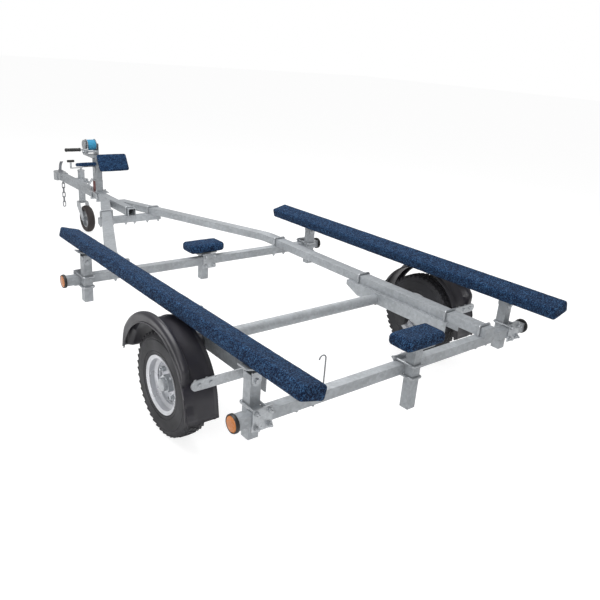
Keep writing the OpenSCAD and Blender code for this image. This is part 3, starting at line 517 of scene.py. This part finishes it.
class TRAILER_OT_post_clamps(bpy.types.Operator):
    """Plates and U-bolts that hold the bunk posts and keel posts to the cross members"""
    bl_idname = "trailer.post_clamps"
    bl_label = "Post clamps"

    def execute(self, context):
        post_low, post_high = loose_boxes("bunk_posts_right")[0]
        post_x = (post_low.x + post_high.x) / 2
        width = post_high.x - post_low.x
        plate, plate_margin, seat_gap = 0.006, 0.018, 0.0003
        seat = 2 * width + WIRE + plate
        for node, member, way in (("rear_post_clamps", "rear_cross_member", 1),
                                  ("front_post_clamps", "front_cross_member", -1)):
            bm = bmesh.new()
            middle = centre_of(member)
            for x, facing_way in ((post_x, way), (-post_x, way), (0.0, -way)):
                place = Vector((x, middle.y, middle.z))
                out = ALONG * facing_way
                block(bm, at(place - out * (width + plate) / 2),
                      (width + 2 * plate_margin, plate, 2 * width), 0.0015)
                for rise in (-1, 1):
                    crown = place + out * (1.5 * width + WIRE)
                    crown += UP * rise * (width / 2 + WIRE + seat_gap)
                    u_bolt(bm, crown, ACROSS, out, width + 2 * (WIRE + seat_gap), seat + BOLT_TAIL, seat)
            piece(f"{node}_round", bm, "Zinc", hides=(node,))
        return {"FINISHED"}


# ---------- carpeted pieces ----------

def felted(verts, amount, seed):
    """Uneven thickness of carpet stretched over a board."""
    for v in verts:
        v.co += Vector(v.normal) * noise.noise(v.co * 38 + Vector((seed, 0, 0))) * amount


def carpet_board(name, node, size, matrix, radius, crown, seed):
    """Carpeted board: rounded edges, faces crowned between them and an uneven pile."""
    bm = bmesh.new()
    verts = bmesh.ops.create_cube(bm, size=1.0)["verts"]
    bmesh.ops.scale(bm, verts=verts, vec=Vector(size) - Vector((crown, crown, crown)) * 2)
    bmesh.ops.bevel(bm, geom=list(bm.edges), offset=radius, affect="EDGES", segments=4, profile=0.5,
                    material=-1)
    spacing, shortest, most_cuts = 0.012, 0.02, 110
    for axis in range(3):
        spans = {e: abs((e.verts[0].co - e.verts[1].co)[axis]) for e in bm.edges}
        long_edges = [e for e in bm.edges if spans[e] > shortest]
        if long_edges:
            cuts = min(most_cuts, int(max(spans[e] for e in long_edges) / spacing))
            bmesh.ops.subdivide_edges(bm, edges=long_edges, cuts=cuts, use_grid_fill=True)
    bm.normal_update()
    half = [s / 2 for s in size]
    for v in bm.verts:
        spread = [max(0.0, 1 - (v.co[i] / half[i]) ** 2) for i in range(3)]
        for i in range(3):
            others = spread[(i + 1) % 3] ** 0.5 * spread[(i + 2) % 3] ** 0.5
            if abs(v.normal[i]) > 0.7:
                v.co[i] += crown * others * (1 if v.normal[i] > 0 else -1)
    felted(bm.verts, 0.0007, seed)
    bmesh.ops.transform(bm, matrix=matrix, verts=bm.verts)
    made = piece(name, bm, "Carpet", hides=(node,), angle=60)
    return made


class TRAILER_OT_bunks(bpy.types.Operator):
    """Carpeted bunks on the posts"""
    bl_idname = "trailer.bunks"
    bl_label = "Bunks"

    def execute(self, context):
        s = sizes()
        for side, sign in SIDES:
            middle = centre_of(f"bunk_{side}")
            turn = Matrix.Rotation(-s.bunk_fall, 4, "X") @ Matrix.Rotation(-s.bunk_tilt * sign, 4, "Y")
            board = (s.bunk_width, s.bunk_length, s.bunk_depth)
            carpet_board(f"bunk_{side}_carpet", f"bunk_{side}", board, at(middle) @ turn, s.bunk_round,
                         0.001, 3 + sign)
        return {"FINISHED"}


class TRAILER_OT_pads(bpy.types.Operator):
    """Carpeted keel pads and bow pads"""
    bl_idname = "trailer.pads"
    bl_label = "Pads"

    def execute(self, context):
        crown = sizes().pad_crown
        for number, node in enumerate(("front_keel_pad", "rear_keel_pad")):
            low, high = (Vector(c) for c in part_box(node))
            carpet_board(f"{node}_carpet", node, high - low, at((low + high) / 2), 0.013,
                         crown, 11 + number)
        # bow pads: node, size, lean in degrees, rounding, seed of the pile
        for node, size, lean, rounding, seed in (
                ("snub_pad_right", (0.205, 0.030, 0.118), -31, 0.009, 17),
                ("snub_pad_left", (0.115, 0.100, 0.026), -10.7, 0.008, 23)):
            turn = at(centre_of(node)) @ Matrix.Rotation(radians(lean), 4, "X")
            carpet_board(f"{node}_carpet", node, size, turn, rounding, 0.002, seed)
        return {"FINISHED"}


# ---------- wheels and mudguards ----------

class TRAILER_OT_tyres(bpy.types.Operator):
    """Road tyres with walls, beads and a block tread"""
    bl_idname = "trailer.tyres"
    bl_label = "Tyres"

    def execute(self, context):
        s = sizes()
        for side, _ in SIDES:
            low, high = (Vector(c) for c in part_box(f"tyre_{side}"))
            middle = (low + high) / 2
            outer = (high.z - low.z) / 2
            half = (high.x - low.x) / 2
            base = outer - s.tread_depth
            bm = bmesh.new()
            seat = 0.1025
            # outside of one half, from the bead to the middle of the tread: radius, place across
            wall = [(seat, 0.0385), (0.1158, 0.0424), (0.1185, half - 0.003), (0.128, half - 0.0012),
                    (0.130, half - 0.0026), (0.1325, half - 0.0026), (0.1345, half - 0.0005),
                    (0.160, half), (0.174, half - 0.0012), (0.1755, half - 0.003), (0.178, half - 0.003),
                    (0.1795, half - 0.002), (0.190, half - 0.006), (base - 0.004, half - 0.012),
                    (base, half - 0.022), (base + 0.0015, 0.0)]
            section = [(r, -z) for r, z in wall] + [(r, z) for r, z in reversed(wall[:-1])]
            # inside of the casing, back to the first bead
            section += [(seat, 0.026), (0.122, 0.034), (0.178, 0.034), (0.188, 0.022), (0.188, -0.022),
                        (0.178, -0.034), (0.122, -0.034), (seat, -0.026)]
            turn = facing(middle, ACROSS)
            lathe(bm, turn, section, 96, closed=True)
            # rows: middle across the tread, width, drop of the outer edge, share of a step round
            block_depth, run = 0.0088, 2 * pi * outer / s.tread_blocks * 0.66
            rows = ((0.0, 0.013, 0.0, 0.0), (0.0165, 0.014, 0.0006, 0.5), (0.0345, 0.016, 0.006, 0.0))
            for number in range(s.tread_blocks):
                for across, width, drop, share in rows:
                    for hand in ((1,) if across == 0 else (1, -1)):
                        angle = 2 * pi * (number + share + (0.25 if hand < 0 else 0)) / s.tread_blocks
                        spot = Matrix.Rotation(angle, 4, "Z") @ at((outer - 0.005 - drop, 0, across * hand))
                        tip = Matrix.Rotation(radians(17) * hand if drop > 0.001 else 0, 4, "Y")
                        slew = Matrix.Rotation(radians(14) * hand, 4, "X")
                        block(bm, turn @ spot @ tip @ slew, (block_depth, run, width), 0.0009, 1)
            piece(f"tyre_{side}_tread", bm, "Tyre Rubber", f"{side}_wheel", (f"tyre_{side}",), 40)
        return {"FINISHED"}


class TRAILER_OT_wheel_trim(bpy.types.Operator):
    """Bright centre caps on the road wheels"""
    bl_idname = "trailer.wheel_trim"
    bl_label = "Wheel trim"

    def execute(self, context):
        for side, sign in SIDES:
            low, high = (Vector(c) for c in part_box(f"wheel_hub_{side}"))
            middle = (low + high) / 2
            outer = high.x if sign > 0 else low.x
            bm = bmesh.new()
            cap = facing((outer - sign * 0.014, middle.y, middle.z), ACROSS * sign)
            lathe(bm, cap, [(0.0245, -0.004), (0.0255, 0.0), (0.0255, 0.008), (0.0235, 0.013),
                            (0.018, 0.0163), (0.010, 0.0178), (0, 0.018)], 48)
            piece(f"wheel_cap_{side}", bm, "Zinc", f"{side}_wheel")
        return {"FINISHED"}


class TRAILER_OT_mudguards(bpy.types.Operator):
    """Moulded mudguards with an outer ridge, lip, inner rib and rear panel"""
    bl_idname = "trailer.mudguards"
    bl_label = "Mudguards"

    def execute(self, context):
        s = sizes()
        for side, sign in SIDES:
            low, high = (Vector(c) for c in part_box(f"mudguard_{side}"))
            wheel = centre_of(f"tyre_{side}")
            inner, outer = (low.x, high.x) if sign > 0 else (-high.x, -low.x)
            skin, flap_out, wall_thickness = 0.25, 0.011, 0.003
            crest = skin + s.guard_ridge
            # from the inner edge over the ridge to the outer lip: radius, place across
            section = [(skin - 0.006, inner), (skin - 0.0005, inner + 0.0015), (skin, inner + 0.014),
                       (skin + 0.0025, inner + 0.018), (skin + 0.0025, inner + 0.022),
                       (skin, inner + 0.026), (skin, outer - 0.052), (skin + 0.002, outer - 0.042),
                       (crest - 0.008, outer - 0.030), (crest - 0.0015, outer - 0.025),
                       (crest, outer - 0.019), (crest, outer - 0.012), (crest - 0.003, outer - 0.005),
                       (crest - 0.009, outer - 0.0015), (crest - 0.016, outer - 0.0015),
                       (skin + 0.004, outer - 0.004), (skin - 0.003, outer - 0.004),
                       (skin - 0.005, outer - 0.0005), (skin - 0.008, outer)]
            bm = bmesh.new()
            first, last = radians(15), radians(172)
            points = [bm.verts.new((x, wheel.y + r * cos(first), wheel.z + r * sin(first)))
                      for r, x in section]
            edges = [bm.edges.new(pair) for pair in zip(points, points[1:])]
            spun = bmesh.ops.spin(bm, geom=points + edges, cent=(0, wheel.y, wheel.z), axis=(1, 0, 0),
                                  angle=last - first, steps=72)["geom_last"]
            foot = [g for g in spun if isinstance(g, bmesh.types.BMEdge)]
            reach = wheel.z + skin * sin(last) - low.z
            lengths = 3
            for _ in range(lengths):
                foot = straight(bm, foot, Vector((0, -flap_out / lengths, -reach / lengths)))
            self.sink_ridge(bm, wheel, skin, outer - 0.045, low.y)
            for v in bm.verts:
                v.co.x *= sign
            bmesh.ops.recalc_face_normals(bm, faces=bm.faces)
            top = max(bm.faces, key=lambda f: f.calc_center_median().z)
            if top.normal.z < 0:
                bmesh.ops.reverse_faces(bm, faces=bm.faces)
            made = piece(f"mudguard_{side}_moulding", bm, "Mudguard Plastic",
                         hides=(f"mudguard_{side}",), angle=50, turn_out=False)
            wall = made.modifiers.new("Wall", "SOLIDIFY")
            wall.thickness, wall.offset = wall_thickness, -1
        return {"FINISHED"}

    @staticmethod
    def sink_ridge(bm, wheel, skin, ridge_x, rearmost):
        """Lowers the ridge at the front, runs it out into the rear panel and keeps the panel in its box."""
        ends, run_out = radians(155), radians(12)
        starts, run_in, lowest = radians(10), radians(22), 0.35
        for v in bm.verts:
            if v.co.x <= ridge_x:
                continue
            away = Vector((0, v.co.y - wheel.y, v.co.z - wheel.z))
            angle = away.angle(ALONG) if away.z > 0 else pi
            if angle >= radians(175):
                if v.co.y < wheel.y - skin - 0.012:
                    v.co.y = max(v.co.y, rearmost)
            elif away.length > skin:
                fade = min(1.0, max(0.0, (ends - angle) / run_out))
                fade = fade * fade * (3 - 2 * fade)
                front = min(1.0, max(lowest, (angle - starts) / run_in))
                v.co += away.normalized() * (skin - away.length) * (1 - fade * front)


# ---------- winch and small pieces ----------

class TRAILER_OT_winch(bpy.types.Operator):
    """Winch drum with its gear and pinion, wound strap and crank"""
    bl_idname = "trailer.winch"
    bl_label = "Winch"

    def execute(self, context):
        low, high = (Vector(c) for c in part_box("winch_strap"))
        middle = (low + high) / 2
        roll, half = (high.z - low.z) / 2, (high.x - low.x) / 2
        turn = facing(middle, ACROSS)
        self.strap(turn, roll, half)
        gear_x = middle.x - half - 0.017
        self.drum(middle, roll, half, gear_x)
        self.crank(middle, gear_x)
        return {"FINISHED"}

    @staticmethod
    def strap(turn, roll, half):
        """Wound strap: its layers show as fine steps on both faces of the roll."""
        bm = bmesh.new()
        layers = 12
        core = 0.010
        section = [(core, -half)]
        for i in range(layers):
            near = core + (roll - core) * i / layers
            far = core + (roll - core) * (i + 1) / layers
            section += [(near + 0.0003, -half + 0.0010), (far - 0.0008, -half + 0.0002)]
        section += [(roll - 0.0006, -half + 0.0006), (roll, -half + 0.002), (roll, half - 0.002)]
        section += [(r, -z) for r, z in reversed(section[:-2])][1:]
        lathe(bm, turn, section, 72, closed=True)
        piece("winch_strap_roll", bm, "Strap Webbing", hides=("winch_strap",), angle=30)

    @staticmethod
    def drum(middle, roll, half, gear_x):
        """Shaft, flanges, end nuts and the big gear."""
        drum_low, drum_high = (Vector(c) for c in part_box("winch_drum"))
        bm = bmesh.new()
        rod(bm, (drum_low.x, middle.y, middle.z), (drum_high.x, middle.y, middle.z), 0.008, 24)
        for way in (-1, 1):
            spot = facing(middle + ACROSS * way * (half + 0.0025), ACROSS * way)
            lathe(bm, spot, [(0.009, -0.0015), (roll + 0.003, -0.0015), (roll + 0.004, -0.0005),
                             (roll + 0.004, 0.0006), (roll + 0.003, 0.0015), (0.015, 0.0015),
                             (0.013, 0.003), (0.009, 0.003)], 64, closed=True)
            shaft_end = drum_high.x if way > 0 else drum_low.x
            hex_nut(bm, Vector((shaft_end - way * 0.010, middle.y, middle.z)), ACROSS * way, 0.011, 0.007)
        gear = facing((gear_x, middle.y, middle.z), ACROSS)
        teeth = sizes().gear_teeth
        lathe(bm, gear, [(0.008, -0.003), (0.012, -0.004), (0.016, -0.003), (0.0315, -0.003),
                         (0.0315, 0.003), (0.016, 0.003), (0.012, 0.004), (0.008, 0.004)], 64, closed=True)
        for number in range(teeth):
            spot = Matrix.Rotation(2 * pi * number / teeth, 4, "Z") @ at((0.0322, 0, 0))
            block(bm, gear @ spot, (0.0036, 0.0028, 0.006), 0.0005, 1)
        piece("winch_drum_gear", bm, "Zinc", hides=("winch_drum",))

    @staticmethod
    def crank(middle, gear_x):
        """Pinion shaft, crank arm and grip."""
        crank_low, crank_high = (Vector(c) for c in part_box("winch_crank"))
        shaft = Vector((0, middle.y - 0.034, middle.z - 0.040))
        arm_x, arm_length, arm_rise, pinion_teeth = -0.058, 0.068, radians(22), 10
        grip = shaft + Vector((0, -arm_length * cos(arm_rise), arm_length * sin(arm_rise)))
        bm = bmesh.new()
        rod(bm, (arm_x - 0.004, shaft.y, shaft.z), (crank_high.x, shaft.y, shaft.z), 0.006, 20)
        arm = at((arm_x, (shaft.y + grip.y) / 2, (shaft.z + grip.z) / 2)) @ Matrix.Rotation(-arm_rise, 4, "X")
        block(bm, arm, (0.005, 0.084, 0.016), 0.0024, 3)
        hex_nut(bm, Vector((arm_x - 0.0025, shaft.y, shaft.z)), -ACROSS, 0.010, 0.007)
        rod(bm, (crank_low.x, grip.y, grip.z), (arm_x + 0.004, grip.y, grip.z), 0.005, 20)
        pinion = facing((gear_x, shaft.y, shaft.z), ACROSS)
        for number in range(pinion_teeth):
            spot = Matrix.Rotation(2 * pi * number / pinion_teeth, 4, "Z") @ at((0.0085, 0, 0))
            block(bm, pinion @ spot, (0.005, 0.0026, 0.008), 0.0005, 1)
        piece("winch_crank_arm", bm, "Zinc", hides=("winch_crank",))
        bm = bmesh.new()
        lathe(bm, facing((crank_low.x, grip.y, grip.z), ACROSS),
              [(0, 0), (0.009, 0), (0.0115, 0.003), (0.012, 0.008), (0.0105, 0.018), (0.0112, 0.05),
               (0.0105, 0.088), (0.0125, 0.097), (0.0115, 0.102), (0.0052, 0.103)], 40)
        piece("winch_crank_grip", bm, "Black Grip")


class TRAILER_OT_reflectors(bpy.types.Operator):
    """Amber reflectors in black rings on the cross members' ends"""
    bl_idname = "trailer.reflectors"
    bl_label = "Reflectors"

    def execute(self, context):
        rings, lenses = bmesh.new(), bmesh.new()
        for low, high in loose_boxes("side_reflectors"):
            middle = (low + high) / 2
            sign = 1 if middle.x > 0 else -1
            root = Vector((low.x if sign > 0 else high.x, middle.y, middle.z))
            spot = facing(root, ACROSS * sign)
            lathe(rings, spot, [(0, 0), (0.0315, 0), (0.032, 0.001), (0.032, 0.009), (0.0305, 0.0125),
                                (0.0285, 0.0125), (0.0272, 0.009), (0, 0.009)], 56)
            lathe(lenses, spot, [(0, 0.0092), (0.0268, 0.0092), (0.0268, 0.011), (0.0255, 0.0128),
                                 (0.018, 0.0143), (0.009, 0.0148), (0, 0.0149)], 56)
        piece("reflector_rings", rings, "Black Grip", hides=("side_reflectors",))
        piece("reflector_lenses", lenses, "Amber Lens", hides=("side_reflectors",))
        return {"FINISHED"}


class TRAILER_OT_handles(bpy.types.Operator):
    """Grip on the jockey wheel's crank, and the strips at the winch post's foot"""
    bl_idname = "trailer.handles"
    bl_label = "Handles"

    def execute(self, context):
        low, high = (Vector(c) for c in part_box("jockey_crank"))
        bm = bmesh.new()
        grip_start = Vector((low.x - 0.002, (low.y + high.y) / 2, high.z - 0.008))
        lathe(bm, facing(grip_start, ACROSS),
              [(0, 0), (0.007, 0), (0.0095, 0.003), (0.0088, 0.018), (0.0088, 0.034), (0.0095, 0.049),
               (0.007, 0.052), (0, 0.052)], 32)
        piece("jockey_crank_grip", bm, "Black Grip", "jockey_leg")
        post = centre_of("winch_post")
        cheek_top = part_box("winch_post_clamp")[1][2]
        bm = bmesh.new()
        for way in (-1, 1):
            block(bm, at((way * 0.0262, post.y, cheek_top - 0.041)), (0.0022, 0.040, 0.070), 0.0008)
        piece("post_foot_strips", bm, "Maroon Strip")
        return {"FINISHED"}


# ---------- stage ----------

class TRAILER_OT_stage(bpy.types.Operator):
    """Pale floor, soft lamps and the camera"""
    bl_idname = "trailer.stage"
    bl_label = "Stage"

    def execute(self, context):
        self.floor(context.scene)
        self.world(context.scene)
        self.lamps(context.scene)
        self.camera(context.scene)
        context.scene.view_settings.view_transform = "Standard"
        return {"FINISHED"}

    @staticmethod
    def floor(scene):
        """Pale floor that glows to the camera, so that it runs into the backdrop."""
        bm = bmesh.new()
        bmesh.ops.create_grid(bm, x_segments=1, y_segments=1, size=40.0)
        mesh = bpy.data.meshes.new("floor")
        bm.to_mesh(mesh)
        bm.free()
        floor = bpy.data.objects.new("floor", mesh)
        scene.collection.objects.link(floor)
        pale = bpy.data.materials.new("Pale Floor")
        pale.use_nodes = True
        tree = pale.node_tree
        shader = tree.nodes["Principled BSDF"]
        shader.inputs["Base Color"].default_value = (0.92, 0.92, 0.92, 1)
        shader.inputs["Roughness"].default_value = 0.95
        shader.inputs["Specular IOR Level"].default_value = 0.1
        glow = tree.nodes.new("ShaderNodeEmission")
        glow.inputs["Strength"].default_value = 1.3
        path = tree.nodes.new("ShaderNodeLightPath")
        mix = tree.nodes.new("ShaderNodeMixShader")
        share = math_node(tree, "MULTIPLY", path.outputs["Is Camera Ray"], 0.62)
        tree.links.new(share, mix.inputs[0])
        tree.links.new(shader.outputs[0], mix.inputs[1])
        tree.links.new(glow.outputs[0], mix.inputs[2])
        tree.links.new(mix.outputs[0], tree.nodes["Material Output"].inputs["Surface"])
        mesh.materials.append(pale)

    @staticmethod
    def world(scene):
        """White to the camera, and dimmer as a light."""
        world = bpy.data.worlds.new("Studio")
        scene.world = world
        world.use_nodes = True
        tree = world.node_tree
        backdrop = tree.nodes["Background"]
        path = tree.nodes.new("ShaderNodeLightPath")
        level = tree.nodes.new("ShaderNodeMapRange")
        level.inputs["To Min"].default_value = 0.48
        level.inputs["To Max"].default_value = 1.0
        tree.links.new(path.outputs["Is Camera Ray"], level.inputs["Value"])
        tree.links.new(level.outputs["Result"], backdrop.inputs["Strength"])
        backdrop.inputs["Color"].default_value = (1, 1, 1, 1)

    @staticmethod
    def lamps(scene):
        """Large soft lamps: name, place, aimed at, size, watts."""
        for name, place, target, size, watts in (
                ("overhead", (-0.6, -0.4, 3.6), (0, 0, 0.3), 3.2, 115),
                ("rear_left", (-3.4, -3.6, 2.6), (0, -0.6, 0.3), 1.6, 45),
                ("front_right", (3.2, 2.4, 2.8), (0, 0, 0.3), 2.0, 30)):
            data = bpy.data.lights.new(name, "AREA")
            data.energy, data.size = watts, size
            lamp = bpy.data.objects.new(name, data)
            lamp.location = place
            lamp.rotation_euler = (Vector(target) - Vector(place)).to_track_quat("-Z", "Y").to_euler()
            scene.collection.objects.link(lamp)

    @staticmethod
    def camera(scene):
        """Camera above and behind the left rear corner."""
        data = bpy.data.cameras.new("view")
        data.lens, data.sensor_width = 38.397, 36.0
        data.clip_end = 200.0
        camera = bpy.data.objects.new("view", data)
        right, above = Vector((0.7794, -0.6221, 0.0737)), Vector((0.1702, 0.3234, 0.9310))
        back = right.cross(above)
        turn = Matrix((right, above, back)).transposed().to_4x4()
        camera.matrix_world = at((-1.7152, -3.1293, 1.3820)) @ turn
        scene.collection.objects.link(camera)
        scene.camera = camera


STEPS = (TRAILER_OT_materials, TRAILER_OT_stage, TRAILER_OT_frame_bolts, TRAILER_OT_post_clamps,
         TRAILER_OT_bunks, TRAILER_OT_pads, TRAILER_OT_tyres, TRAILER_OT_wheel_trim,
         TRAILER_OT_mudguards, TRAILER_OT_winch, TRAILER_OT_reflectors, TRAILER_OT_handles)


class TRAILER_PT_panel(bpy.types.Panel):
    """Lists the sizes, colours and steps of the trailer's finish"""
    bl_idname = "TRAILER_PT_panel"
    bl_label = "Trailer"
    bl_space_type = "VIEW_3D"
    bl_region_type = "UI"
    bl_category = "Trailer"

    def draw(self, context):
        for group in (context.scene.trailer_sizes, context.scene.trailer_colours):
            box = self.layout.box()
            for name in group.__annotations__:
                box.prop(group, name)
        for step in STEPS:
            self.layout.operator(step.bl_idname)


CLASSES = (TrailerColours, TrailerSizes, *STEPS, TRAILER_PT_panel)


def register():
    for cls in CLASSES:
        bpy.utils.register_class(cls)
    bpy.types.Scene.trailer_colours = PointerProperty(type=TrailerColours)
    bpy.types.Scene.trailer_sizes = PointerProperty(type=TrailerSizes)


def unregister():
    del bpy.types.Scene.trailer_sizes
    del bpy.types.Scene.trailer_colours
    for cls in reversed(CLASSES):
        bpy.utils.unregister_class(cls)


def main():
    register()
    for step in STEPS:
        group, name = step.bl_idname.split(".")
        getattr(getattr(bpy.ops, group), name)()


if __name__ == "__main__":
    main()
